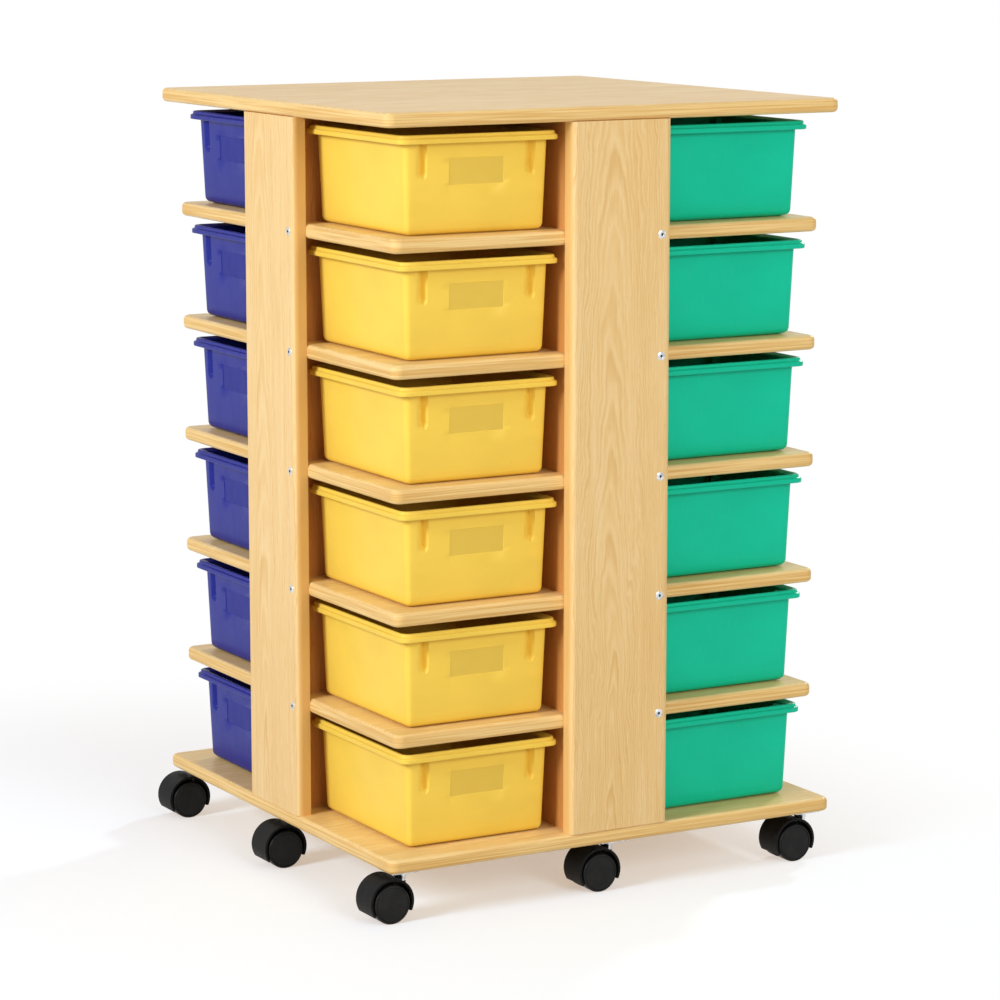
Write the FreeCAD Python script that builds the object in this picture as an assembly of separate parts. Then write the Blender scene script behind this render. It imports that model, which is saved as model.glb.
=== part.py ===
"""Four-sided mobile tray tower: four corner stacks of six trays in a plywood carcass on eight casters.

Millimetres, +Z up. The origin is on the floor, under the middle of the tower. Front is -Y.

Everything above the base repeats four times round the middle. It is drawn once for the front left
stack, whose trays pull out of the front, and turned in quarter turns for the other three.
"""
import FreeCAD, Part
import math
import os
from FreeCAD import Vector

# ---------------------------------------------------------------- driving dimensions
# Carcass
top_size = 686.0  # square top board and base board
board = 19.0  # thickness of every board
corner_radius = 12.5  # plan corners of the top, the base and the shelves
edge_round = 6.0  # rounded long edges of the top, the base and the shelves
panel_edge_round = 8.0  # outer upright edges of the face panels
panel_cover = 7.5  # how far a face panel reaches past the divider behind it
panel_screw_margin = 15.0  # from a face panel's screws to its edge
screw_past_back_board = 21.5  # the screws, past the face of the back board behind the same panel
groove_depth = 6.0  # shelf housed in the divider and in the back board

# Trays
tray_levels = 6
tray_width = 235.0  # over the rim, across the front
tray_depth = 272.0  # over the rim, front to back
tray_height = 129.0
tray_wall = 2.5
tray_headroom = 12.0  # from a tray's rim to the board above
tray_front_setback = 8.0  # rim behind the front edge of the shelf
tray_side_setback = 14.4  # rim inside the open side edge of the shelf
tray_panel_clearance = 1.0  # rim to the face panel that the tray slides out past
tray_back_clearance = 3.0  # rim to the back board
wall_draft = 5.0  # each wall leans in by this much at the bottom
rim_overhang = 11.5  # rim beyond the top of the wall
rim_corner_radius = 13.0
rim_skirt = 6.5  # straight lower band of the rim
rim_slope = 5.0  # band above it, sloping in
rim_slope_inset = 4.0
rim_crest = 2.5  # flat top of the rim
rim_dip = 3.5  # from the crest down to the top of the inner wall
wall_corner_radius = 9.0  # at the top of the walls
foot_corner_radius = 8.0  # at their foot
floor_corner_radius = 7.0  # round the underside
floor_edge = 6.0  # slanted edge between the walls and the floor
flute_spacing = 158.0  # between the two hand flutes in the front wall
flute_width = 17.5
flute_depth = 6.0
flute_length = 45.0  # below the rim
label_width = 80.0
label_height = 34.5
label_bottom = 63.5  # above the tray's underside
label_depth = 0.6

# Screws through the face panels
screw_head_radius = 4.8
screw_crown_radius = 2.9  # flat middle of the low domed head
screw_head_height = 3.0
screw_proud = 0.9
screw_radius = 2.0
screw_length = 48.0
screw_point = 4.0
screw_recess_radius = 1.9
screw_recess_depth = 2.0
screw_clearance = 0.3

# Casters
caster_inset = 30.0  # swivel axis inside the edge of the base
caster_height = 67.5  # floor to the underside of the base
caster_trail = 22.0  # wheel axle behind the swivel axis
wheel_radius = 26.0
wheel_width = 14.5
wheel_gap = 0.5  # wheel to the web
web_thickness = 13.0  # middle web of the hood
hood_radius = 31.5
hood_rise = 3.0  # centre of the hood above the axle
hood_wall = 3.0
hood_front_angle = 15.0  # the hood ends this far below the axle, at the front
hood_rear_angle = 22.0  # and this far below it, at the rear
hood_notch = 6.0  # the two ends slant up to a point this far below the axle
hood_well_radius = 13.0  # round opening in the hood for the swivel cup
neck_radius = 7.5
neck_top = 50.5  # above the floor
axle_radius = 3.0
axle_press_depth = 8.7  # into each wheel
axle_clearance = 0.2
king_pin_radius = 4.0
king_pin_clearance = 0.3
king_pin_reach = 15.0  # into the neck
plate_size = 42.0
plate_thickness = 2.5
plate_corner_radius = 4.0
cup_radius = 9.5
cup_tip_radius = 6.5
cup_gap = 0.5  # swivel cup to the neck
plate_screw_spacing = 28.0
plate_screw_radius = 1.75
plate_screw_length = 14.0
plate_screw_head_radius = 3.5
plate_screw_crown_radius = 2.1
plate_screw_head_height = 2.0

# ---------------------------------------------------------------- derived sizes
half_top = top_size / 2
half_shelf = half_top - board  # shelf edges lie against the backs of the face panels
bay_height = tray_height + tray_headroom
level_pitch = bay_height + board
base_bottom = caster_height
base_top = base_bottom + board
top_bottom = base_top + tray_levels * level_pitch - board

# Front left stack: x and y both run from the open corner towards the middle
tray_x = -(half_shelf - tray_side_setback - tray_width / 2)
tray_y = -(half_shelf - tray_front_setback - tray_depth / 2)
back_face = tray_y + tray_depth / 2 + tray_back_clearance

# Each face panel covers the end of one divider and, past the middle, the next stack's back board
panel_left = tray_x + tray_width / 2 + tray_panel_clearance
divider_face = panel_left + panel_cover
screw_x = -back_face + screw_past_back_board
panel_right = screw_x + panel_screw_margin

wheel_axle_z = wheel_radius
wheel_inner = web_thickness / 2 + wheel_gap
hood_half_width = wheel_inner + wheel_width
cup_bottom = neck_top + cup_gap

stack_names = ("front_left", "front_right", "back_right", "back_left")
parts_folder = "parts"
same_place = 0.01  # closer than this counts as touching


# ---------------------------------------------------------------- helpers
def block(x0, y0, z0, x1, y1, z1):
    """Box between two corners."""
    return Part.makeBox(x1 - x0, y1 - y0, z1 - z0, Vector(x0, y0, z0))


def cylinder(radius, start, end):
    """Cylinder between two points."""
    axis = end - start
    return Part.makeCylinder(radius, axis.Length, start, axis)


def rounded_outline(x0, y0, x1, y1, radius, z):
    """Closed wire: a rectangle with round corners at height z."""
    arc_mid = radius * (1 - math.sqrt(0.5))
    corners = (
        (Vector(x1 - radius, y0, z), Vector(x1 - arc_mid, y0 + arc_mid, z), Vector(x1, y0 + radius, z)),
        (Vector(x1, y1 - radius, z), Vector(x1 - arc_mid, y1 - arc_mid, z), Vector(x1 - radius, y1, z)),
        (Vector(x0 + radius, y1, z), Vector(x0 + arc_mid, y1 - arc_mid, z), Vector(x0, y1 - radius, z)),
        (Vector(x0, y0 + radius, z), Vector(x0 + arc_mid, y0 + arc_mid, z), Vector(x0 + radius, y0, z)),
    )
    edges = []
    for corner, following in zip(corners, corners[1:] + corners[:1]):
        edges.append(Part.Arc(*corner).toShape())
        edges.append(Part.makeLine(corner[2], following[0]))
    return Part.Wire(edges)


def rounded_block(x0, y0, z0, x1, y1, z1, radius):
    """Box with round upright edges."""
    face = Part.Face(rounded_outline(x0, y0, x1, y1, radius, z0))
    return face.extrude(Vector(0, 0, z1 - z0))


def edges_along(shape, test):
    """Edges of a shape whose two ends both pass the test."""
    return [edge for edge in shape.Edges if all(test(vertex.Point) for vertex in edge.Vertexes)]


def quarter_turned(shape, turns):
    """Copy of a shape, turned about the tower's axis by quarter turns."""
    copy = shape.copy()
    copy.rotate(Vector(0, 0, 0), Vector(0, 0, 1), 90 * turns)
    return copy


def moved(shape, x, y, z):
    """Copy of a shape, moved."""
    copy = shape.copy()
    copy.translate(Vector(x, y, z))
    return copy


def export(name, shapes):
    """Write one node: a single solid, or a group of separate solids."""
    shape = shapes[0] if len(shapes) == 1 else Part.makeCompound(shapes)
    shape.exportStep(os.path.join(parts_folder, name + ".step"))


# ---------------------------------------------------------------- carcass
def outer_board(z0):
    """Square board with round corners and its top and bottom edges rounded over all the way round."""
    slab = rounded_block(-half_top, -half_top, z0, half_top, half_top, z0 + board, corner_radius)
    faces = (z0, z0 + board)
    rims = edges_along(slab, lambda point: any(abs(point.z - z) < same_place for z in faces))
    rims = [edge for edge in rims if edge.BoundBox.ZLength < same_place]
    return slab.makeFillet(edge_round, rims)


def base_board():
    """Base board, with pilot holes for the caster plate screws in its underside."""
    slab = outer_board(base_bottom)
    depth = plate_screw_length - plate_thickness
    holes = []
    for x, y in caster_places():
        for dx, dy in plate_screw_offsets():
            start = Vector(x + dx, y + dy, base_bottom)
            holes.append(cylinder(plate_screw_radius, start, start + Vector(0, 0, depth)))
    return slab.cut(Part.makeCompound(holes))


def face_panel():
    """Upright board in the middle of the front, round edged, countersunk for its row of screws."""
    outer = -half_top
    slab = block(panel_left, outer, base_top, panel_right, outer + board, top_bottom)
    front_edges = edges_along(slab, lambda point: abs(point.y - outer) < same_place)
    front_edges = [edge for edge in front_edges if edge.BoundBox.ZLength > board]
    panel = slab.makeFillet(panel_edge_round, front_edges)
    return panel.cut(Part.makeCompound([screw_hole(z) for z in shelf_middles()]))


def screw_hole(z):
    """Clearance hole with a countersink that holds the screw head flush."""
    face = Vector(screw_x, -half_top, z)
    inwards = Vector(0, 1, 0)
    hole = cylinder(screw_radius + screw_clearance, face, face + inwards * board)
    sink = Part.makeCone(
        screw_head_radius + screw_clearance, screw_radius + screw_clearance, screw_head_height, face, inwards
    )
    return hole.fuse(sink)


def shelf_middles():
    """Mid heights of the shelves of one stack."""
    return [base_top + (level + 1) * level_pitch - board / 2 for level in range(tray_levels - 1)]


def side_divider():
    """Upright board beside a stack, grooved for the ends of its shelves."""
    end = back_face + board
    slab = block(divider_face, -half_shelf, base_top, divider_face + board, end, top_bottom)
    grooves = []
    for z in shelf_middles():
        grooves.append(
            block(divider_face, -half_shelf, z - board / 2, divider_face + groove_depth,
                  back_face + groove_depth, z + board / 2)
        )
    return slab.cut(Part.makeCompound(grooves))


def back_board():
    """Upright board behind a stack, grooved for the back edges of its shelves."""
    slab = block(-half_shelf, back_face, base_top, divider_face, back_face + board, top_bottom)
    grooves = []
    for z in shelf_middles():
        grooves.append(
            block(-half_shelf, back_face, z - board / 2, divider_face, back_face + groove_depth,
                  z + board / 2)
        )
    return slab.cut(Part.makeCompound(grooves))


def shelf(z):
    """Shelf with one free corner, rounded over along its two open edges, and a pilot hole for a screw."""
    bottom = z - board / 2
    inner_x = divider_face + groove_depth
    inner_y = back_face + groove_depth
    blank = rounded_block(
        -half_shelf, -half_shelf, bottom, inner_x + corner_radius, inner_y + corner_radius,
        bottom + board, corner_radius,
    )
    slab = blank.common(block(-half_shelf, -half_shelf, bottom, inner_x, inner_y, bottom + board))
    open_edges = [
        edge for edge in slab.Edges
        if edge.BoundBox.ZLength < same_place and not lies_on_inner_side(edge, inner_x, inner_y)
    ]
    slab = slab.makeFillet(edge_round, open_edges)
    # The next panel round covers the open side edge, and its screw enters the shelf there
    start = Vector(-half_shelf, -screw_x, z)
    reach = screw_length - board
    return slab.cut(cylinder(screw_radius, start, start + Vector(reach, 0, 0)))


def lies_on_inner_side(edge, inner_x, inner_y):
    """True for an edge along either of the two housed sides of a shelf."""
    box = edge.BoundBox
    along_y = abs(box.XMin - inner_x) < same_place and abs(box.XMax - inner_x) < same_place
    along_x = abs(box.YMin - inner_y) < same_place and abs(box.YMax - inner_y) < same_place
    return along_x or along_y


def panel_screw(z):
    """Countersunk wood screw with a low domed head and a hexagon recess."""
    face = -half_top
    crown = Vector(screw_crown_radius, face - screw_proud, 0)
    profile = [
        Vector(0, face - screw_proud, 0),
        crown,
        Vector(screw_head_radius, face, 0),
        Vector(screw_radius, face + screw_head_height, 0),
        Vector(screw_radius, face + screw_length - screw_point, 0),
        Vector(0, face + screw_length, 0),
        Vector(0, face - screw_proud, 0),
    ]
    body = Part.Face(Part.makePolygon(profile)).revolve(Vector(0, 0, 0), Vector(0, 1, 0), 360)
    hexagon = [
        Vector(screw_recess_radius * math.cos(turn * math.pi / 3), face - screw_proud,
               screw_recess_radius * math.sin(turn * math.pi / 3))
        for turn in range(7)
    ]
    recess = Part.Face(Part.makePolygon(hexagon)).extrude(Vector(0, screw_recess_depth, 0))
    return moved(body.cut(recess), screw_x, 0, z)


# ---------------------------------------------------------------- tray
def tray_outline(inset, radius, z):
    """Outline of the tray at height z, inset from the outside of its rim."""
    half_x = tray_width / 2 - inset
    half_y = tray_depth / 2 - inset
    return rounded_outline(-half_x, -half_y, half_x, half_y, radius, z)


def drafted_solid(sections):
    """Solid through tray outlines given as (inset, corner radius, height), straight between them."""
    return Part.makeLoft([tray_outline(*section) for section in sections], True, True)


def wall_inset(z):
    """Inset of the outside of the wall at height z above the tray's underside."""
    return rim_overhang + wall_draft * (1 - z / tray_height)


def tray_shell():
    """Walls and floor of the tray with their draft, open at the top."""
    outside = drafted_solid([
        (wall_inset(0) + floor_edge, floor_corner_radius, 0),
        (wall_inset(floor_edge), foot_corner_radius, floor_edge),
        (wall_inset(tray_height), wall_corner_radius, tray_height),
    ])
    rim_low = tray_height - rim_slope - rim_skirt
    rim_mid = tray_height - rim_slope
    skirt = drafted_solid([(0, rim_corner_radius, rim_low), (0, rim_corner_radius, rim_mid)])
    slope = drafted_solid([
        (0, rim_corner_radius, rim_mid),
        (rim_slope_inset, rim_corner_radius - rim_slope_inset, tray_height),
    ])
    outside = outside.fuse([skirt, slope])
    rim_inner = rim_slope_inset + rim_crest
    cavity = drafted_solid([
        (wall_inset(0) + tray_wall + floor_edge / 2, foot_corner_radius - tray_wall, tray_wall),
        (wall_inset(tray_height) + tray_wall, wall_corner_radius - tray_wall, tray_height - rim_dip),
        (rim_inner, rim_corner_radius - rim_inner, tray_height),
    ])
    under_rim = drafted_solid([
        (tray_wall, rim_corner_radius - tray_wall, rim_low),
        (tray_wall, rim_corner_radius - tray_wall, rim_mid - tray_wall / 2),
    ]).cut(drafted_solid([
        (wall_inset(rim_low), wall_corner_radius, rim_low),
        (wall_inset(rim_mid), wall_corner_radius, rim_mid),
    ]))
    return outside, cavity, under_rim, rim_low


def flute(x, grow, top):
    """Hand flute in the front wall: a V groove that ends below in a half cone.

    grow widens and deepens it by the wall, which gives its bulge inside the tray.
    """
    half_width = flute_width / 2 + grow
    depth = flute_depth + grow
    bottom = tray_height - rim_slope - rim_skirt - flute_length + flute_width / 2
    face_y = -tray_depth / 2 + wall_inset(tray_height)
    lean = math.degrees(math.atan(wall_draft / tray_height))
    groove = Part.Face(Part.makePolygon([
        Vector(-half_width, -depth, bottom),
        Vector(half_width, -depth, bottom),
        Vector(half_width, 0, bottom),
        Vector(0, depth, bottom),
        Vector(-half_width, 0, bottom),
        Vector(-half_width, -depth, bottom),
    ])).extrude(Vector(0, 0, top - bottom))
    end = Part.makeCone(half_width, 0, depth, Vector(0, 0, bottom), Vector(0, 1, 0))
    mouth = Part.makeCylinder(half_width, depth, Vector(0, -depth, bottom), Vector(0, 1, 0))
    shape = groove.fuse([end, mouth])
    shape.rotate(Vector(0, 0, tray_height), Vector(1, 0, 0), lean)
    return moved(shape, x, face_y, 0)


def label_field():
    """Shallow plain field for a label, cut square to the sloping front wall."""
    face_y = -tray_depth / 2 + wall_inset(tray_height)
    lean = math.degrees(math.atan(wall_draft / tray_height))
    field = block(-label_width / 2, -label_height, label_bottom, label_width / 2, label_depth,
                  label_bottom + label_height)
    field.rotate(Vector(0, 0, tray_height), Vector(1, 0, 0), lean)
    return moved(field, 0, face_y, 0)


def tray():
    """One tray, its underside at z = 0 and its front towards -Y, centred in plan."""
    outside, cavity, under_rim, rim_low = tray_shell()
    flute_places = (-flute_spacing / 2, flute_spacing / 2)
    bulges = [flute(x, tray_wall, tray_height - rim_slope) for x in flute_places]
    grooves = [flute(x, 0, rim_low) for x in flute_places]
    shell = outside.cut(cavity.cut(Part.makeCompound(bulges)))
    shell = shell.cut(Part.makeCompound([under_rim, label_field()] + grooves))
    return shell.removeSplitter()


# ---------------------------------------------------------------- casters
def caster_places():
    """Swivel axes: the four corners of the base and the middles of its four sides."""
    reach = half_top - caster_inset
    steps = (-reach, 0, reach)
    return [(x, y) for y in steps for x in steps if x or y]


def plate_screw_offsets():
    """Places of the four screws round a caster's swivel axis."""
    half = plate_screw_spacing / 2
    return [(x, y) for x in (-half, half) for y in (-half, half)]


def caster_plate():
    """Zinc top plate with its swivel cup and riveted king pin, about the swivel axis."""
    half = plate_size / 2
    plate_bottom = base_bottom - plate_thickness
    plate = rounded_block(-half, -half, plate_bottom, half, half, base_bottom, plate_corner_radius)
    holes = [
        cylinder(plate_screw_radius, Vector(x, y, plate_bottom), Vector(x, y, base_bottom))
        for x, y in plate_screw_offsets()
    ]
    cup = Part.makeCone(cup_tip_radius, cup_radius, plate_bottom - cup_bottom, Vector(0, 0, cup_bottom))
    pin = cylinder(king_pin_radius, Vector(0, 0, neck_top - king_pin_reach), Vector(0, 0, plate_bottom))
    return plate.fuse([cup, pin]).cut(Part.makeCompound(holes)).removeSplitter()


def plate_screw():
    """Pan head screw, driven up through a caster plate into the base."""
    seat = base_bottom - plate_thickness
    head = Part.makeCone(
        plate_screw_crown_radius, plate_screw_head_radius, plate_screw_head_height,
        Vector(0, 0, seat - plate_screw_head_height),
    )
    shank = cylinder(plate_screw_radius, Vector(0, 0, seat), Vector(0, 0, seat + plate_screw_length))
    return head.fuse(shank)


def caster_hood():
    """Hood with its middle web and neck, about the swivel axis, trailing towards -X."""
    axle = Vector(-caster_trail, 0, wheel_axle_z)
    centre = axle + Vector(0, 0, hood_rise)
    inner_radius = hood_radius - hood_wall
    half_width = Vector(0, hood_half_width, 0)
    outer = cylinder(hood_radius, centre - half_width, centre + half_width)
    room = []
    for side in (-1, 1):
        start = centre + Vector(0, side * web_thickness / 2, 0)
        room.append(cylinder(inner_radius, start, start + half_width * side))
    well = cylinder(hood_well_radius, Vector(0, 0, neck_top), Vector(0, 0, base_bottom))
    hood = outer.cut(Part.makeCompound(room + [well])).cut(below_hood(axle))
    neck = cylinder(neck_radius, Vector(0, 0, wheel_axle_z), Vector(0, 0, neck_top))
    neck = neck.cut(Part.makeCompound(room))
    pin_hole = cylinder(
        king_pin_radius + king_pin_clearance,
        Vector(0, 0, neck_top - king_pin_reach - king_pin_clearance), Vector(0, 0, neck_top),
    )
    axle_hole = cylinder(
        axle_radius + axle_clearance,
        axle - Vector(0, web_thickness, 0), axle + Vector(0, web_thickness, 0),
    )
    return hood.fuse(neck).cut(pin_hole).cut(axle_hole).removeSplitter()


def below_hood(axle):
    """Space under the hood, between its two lower ends."""
    far = 2 * hood_radius
    front = math.radians(-hood_front_angle)
    rear = math.radians(180 + hood_rear_angle)
    bottom = -far
    points = [
        Vector(0, 0, -hood_notch),
        Vector(far * math.cos(front), 0, far * math.sin(front)),
        Vector(far * math.cos(front), 0, bottom),
        Vector(far * math.cos(rear), 0, bottom),
        Vector(far * math.cos(rear), 0, far * math.sin(rear)),
        Vector(0, 0, -hood_notch),
    ]
    wedge = Part.Face(Part.makePolygon(points)).extrude(Vector(0, 4 * hood_half_width, 0))
    wedge.translate(axle - Vector(0, 2 * hood_half_width, 0))
    return wedge


def caster_wheels():
    """Two wheels pressed on one axle, about the swivel axis."""
    axle = Vector(-caster_trail, 0, wheel_axle_z)
    pieces = []
    for side in (-1, 1):
        start = axle + Vector(0, side * wheel_inner, 0)
        wheel = cylinder(wheel_radius, start, start + Vector(0, side * wheel_width, 0))
        bore = cylinder(axle_radius, start, start + Vector(0, side * axle_press_depth, 0))
        pieces.append(wheel.cut(bore))
    reach = Vector(0, wheel_inner + axle_press_depth, 0)
    pieces.append(cylinder(axle_radius, axle - reach, axle + reach))
    return pieces


# ---------------------------------------------------------------- assembly
def build_carcass():
    """Boards, shelves and fasteners that stay put."""
    export("top_board", [outer_board(top_bottom)])
    export("base_board", [base_board()])
    panel = face_panel()
    divider = side_divider()
    back = back_board()
    shelves = [shelf(z) for z in shelf_middles()]
    panel_screws = [panel_screw(z) for z in shelf_middles()]
    screws = []
    for turns, (stack, side) in enumerate(zip(stack_names, ("front", "right", "back", "left"))):
        export("face_panel_" + side, [quarter_turned(panel, turns)])
        export("side_divider_" + stack, [quarter_turned(divider, turns)])
        export("back_board_" + stack, [quarter_turned(back, turns)])
        export("shelves_" + stack, [quarter_turned(item, turns) for item in shelves])
        screws.extend(quarter_turned(item, turns) for item in panel_screws)
    small_screw = plate_screw()
    for x, y in caster_places():
        screws.extend(moved(small_screw, x + dx, y + dy, 0) for dx, dy in plate_screw_offsets())
    export("screws", screws)


def build_trays():
    """Six trays in each of the four stacks."""
    one_tray = tray()
    for turns, stack in enumerate(stack_names):
        for level in range(tray_levels):
            placed = moved(one_tray, tray_x, tray_y, base_top + level * level_pitch)
            export("tray_%s_%d" % (stack, level + 1), [quarter_turned(placed, turns)])


def build_casters():
    """Eight casters, all trailing the same way."""
    plate = caster_plate()
    hood = caster_hood()
    wheels = caster_wheels()
    export("caster_plates", [moved(plate, x, y, 0) for x, y in caster_places()])
    for number, (x, y) in enumerate(caster_places(), start=1):
        export("caster_hood_%d" % number, [moved(hood, x, y, 0)])
        export("caster_wheels_%d" % number, [moved(item, x, y, 0) for item in wheels])


os.makedirs(parts_folder, exist_ok=True)
build_carcass()
build_trays()
build_casters()
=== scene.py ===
"""Looks of the classroom tray tower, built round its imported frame. Metres, +Z up, front is -Y."""
import math

import bmesh
import bpy
from mathutils import Matrix, Vector


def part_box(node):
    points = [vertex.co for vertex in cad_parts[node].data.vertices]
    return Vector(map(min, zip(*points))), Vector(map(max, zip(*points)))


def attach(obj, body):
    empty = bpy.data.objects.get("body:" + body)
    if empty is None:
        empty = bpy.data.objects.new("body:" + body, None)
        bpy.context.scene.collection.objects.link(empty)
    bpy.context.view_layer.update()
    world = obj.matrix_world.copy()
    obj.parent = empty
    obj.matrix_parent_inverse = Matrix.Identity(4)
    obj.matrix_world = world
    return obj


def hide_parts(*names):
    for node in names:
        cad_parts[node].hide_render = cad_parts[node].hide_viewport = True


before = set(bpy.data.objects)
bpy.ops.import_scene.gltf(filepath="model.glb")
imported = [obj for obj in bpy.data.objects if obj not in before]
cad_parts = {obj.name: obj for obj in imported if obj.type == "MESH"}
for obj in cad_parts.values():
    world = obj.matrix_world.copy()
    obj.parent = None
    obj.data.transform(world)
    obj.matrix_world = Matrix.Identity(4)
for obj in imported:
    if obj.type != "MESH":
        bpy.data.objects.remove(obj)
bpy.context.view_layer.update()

MM = 0.001

# ---------------------------------------------------------------- tray sizes, in millimetres
TRAY_WIDTH = 235.0
TRAY_DEPTH = 272.0
TRAY_HEIGHT = 129.0
TRAY_WALL = 2.5
WALL_DRAFT = 5.0
RIM_OVERHANG = 11.5
RIM_LOW = 117.5  # lower edge of the rim's skirt
RIM_ROOF = 122.75  # underside of the rim, inside the skirt
RIM_STEP = 123.5  # top of the skirt, where a ledge slopes up to the bead
RIM_STEP_INSET = 3.0
RIM_STEP_RISE = 1.6
RIM_CREST = 3.2  # flat top of the rim
RIM_DIP = 3.5  # from the crest down to the top of the inner wall
RIM_CORNER_RADIUS = 13.0
LEAST_CORNER_RADIUS = 2.0
CORNER_SHRINK = 0.4  # how much a corner radius loses for each millimetre of inset
BOTTOM_RADIUS = 8.0  # between the walls and the floor, outside
FLOOR_RADIUS = 7.0  # the same, inside
FLOOR_INSET = 60.0  # the floor is lofted this far in, and one face closes the rest
FOOT_HEIGHT = 1.2  # the foot ring under the floor
FOOT_INSET = 9.5
FLUTE_VALLEYS = (-76.8, 81.2)  # a flute deepens slowly from the left and rises steeply at the right
FLUTE_LEFT = 11.5
FLUTE_RIGHT = 5.0
FLUTE_DEPTH = 9.0
FLUTE_LEFT_POWER = 1.6  # bends the left flank, so that it starts slowly
FLUTE_END_Z = 80.5  # where a flute starts to run out
FLUTE_RUNOUT = 8.5
LABEL_HALF_WIDTH = 40.0
LABEL_BOTTOM = 63.5
LABEL_TOP = 98.0
LABEL_DEPTH = 0.6
LABEL_LIP = 0.3

# How finely a tray is drawn
CORNER_STEPS = 7
FLUTE_COLUMNS = (  # across a flute, as shares of its left or right reach
    -1.1, -1.0, -0.86, -0.72, -0.6, -0.48, -0.36, -0.26, -0.17, -0.08, 0.0,
    0.2, 0.42, 0.64, 0.84, 1.0, 1.15,
)
PLAIN_COLUMNS = (-54.0, -14.0, 14.0, 54.0)
WALL_ROWS = (
    20.0, 45.0, LABEL_BOTTOM - LABEL_LIP, LABEL_BOTTOM + LABEL_LIP,
    70.8, 71.6, 72.6, 74.0, 75.5, 77.0, 78.5, 79.5, FLUTE_END_Z,
    89.0, LABEL_TOP - LABEL_LIP, LABEL_TOP + LABEL_LIP, 108.0,
)
TALL_STRETCH = 60.0  # a stretch of the profile taller than this is a wall and gets the rows
WALL_START = 10.0  # flutes and label can only lie above this height

# ---------------------------------------------------------------- other sizes, in millimetres
BASE_BOTTOM = 67.5
HALF_TOP = 343.0
SHELF_MIDDLES = (237.0, 397.0, 557.0, 717.0, 877.0)
PANEL_SCREW_OFFSET = 62.5  # from the middle of the panel's side of the tower
PANEL_SCREW = {"radius": 5.8, "crown": 0.89, "recess_radius": 2.1, "recess_depth": 2.2, "seat": 3.0}
PLATE_SCREW = {"radius": 3.5, "crown": 2.0, "recess_radius": 1.4, "recess_depth": 1.2, "seat": 0.2}
SCREW_SEGMENTS = 36
DOME_SHARES = (0.97, 0.88, 0.74, 0.6)  # rings of a screw's domed head, as shares of its radius
DOME_POWER = 1.2

CASTER_REACH = 313.0
CASTER_TRAIL = 22.0
WHEEL_RADIUS = 26.0
WHEEL_WIDTH = 14.5
WHEEL_INNER = 7.0
AXLE_RADIUS = 3.0
AXLE_REACH = WHEEL_INNER + 1.0  # its ends lie inside the wheels
PLATE_HALF = 21.0
PLATE_THICKNESS = 2.5
PLATE_CORNER_RADIUS = 4.0
PLATE_SCREW_REACH = 14.0
KING_PIN_RADIUS = 4.0
KING_PIN_LOW = 35.5
KING_PIN_HIGH = 51.5
AXIS_GAP = 0.05  # a surface of revolution ends in a face this small round its axis
RACEWAY_CUP = (  # radius, height
    (AXIS_GAP, 51.0), (4.0, 51.0), (6.2, 51.0), (6.6, 51.6), (6.9, 54.0), (8.6, 58.0),
    (9.3, 60.2), (9.5, 62.4), (9.3, 64.2), (10.2, 65.2), (AXIS_GAP, 65.2),
)

STACKS = ("front_left", "front_right", "back_right", "back_left")
STACK_COLOURS = ("yellow", "green", "red", "blue")
SIDES = ("front", "right", "back", "left")
LEVELS = 6


# ---------------------------------------------------------------- colours
def srgb(red, green, blue):
    """Linear colour from an 8-bit sRGB one."""
    def linear(value):
        share = value / 255
        return share / 12.92 if share <= 0.04045 else ((share + 0.055) / 1.055) ** 2.4
    return linear(red), linear(green), linear(blue), 1.0


WOOD_LIGHT = srgb(243, 215, 162)
WOOD_MID = srgb(236, 202, 142)
WOOD_DEEP = srgb(228, 187, 120)
WOOD_LINE = srgb(214, 166, 98)
INNER_PAINTED_SHADE = (0.82, 0.54, 0.33, 1.0)  # painted shade: the boards behind the trays are darkened to a deeper brown, standing in for the shadow in the recesses round the trays
LEVEL_TINT = (1.0, 1.0, 0.92, 1.0)  # the top, the base and the shelves are a little warmer
EDGE_LIGHT = srgb(240, 207, 148)
EDGE_DARK = srgb(218, 172, 102)
TRAY_COLOURS = {
    "yellow": srgb(248, 211, 86),
    "green": srgb(14, 204, 164),
    "red": srgb(196, 38, 34),
    "blue": srgb(32, 40, 138),
}
TRAY_DEEP_SHARE = 0.88  # of the colour, where the plastic's flow marks are darkest
LABEL_TINT = (0.85, 0.85, 0.92, 1.0)
INSIDE_PAINTED_SHADE = (0.99, 0.87, 0.75, 1.0)  # painted shade and bounce light: a tray's inside is darkened and warmed, standing in for the light that stays inside it and takes on more of its colour
SCUFF = (0.8, 0.8, 0.8, 1.0)
CASTER_BLACK = srgb(11, 11, 11)
WHEEL_BLACK = srgb(18, 18, 18)
DUST = srgb(60, 58, 54)
ZINC = srgb(226, 228, 230)
ZINC_DULL = srgb(178, 182, 186)
RECESS = srgb(38, 38, 40)
RECESS_DIRT = srgb(70, 68, 64)
FLOOR_COLOUR = (0.485, 0.63, 0.755, 1.0)  # as seen; the glow's warmth stays in the shadow alone
FLOOR_GLOW = (0.54, 0.43, 0.35, 1.0)
FLOOR_GREY = (0.62, 0.61, 0.60, 1.0)  # as it lights the object
AMBIENT_COLOUR = (1.0, 0.92, 0.83, 1.0)
WHITE = (1.0, 1.0, 1.0, 1.0)

# ---------------------------------------------------------------- wood figure, in metres
RING_PITCH = 0.003  # between the wood's growth rings
SWAY = 0.036  # how far the rings stray sideways, in long waves
WIGGLE = 0.0065  # and in short ones
WANDER = 0.012  # how far their depth strays

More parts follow.
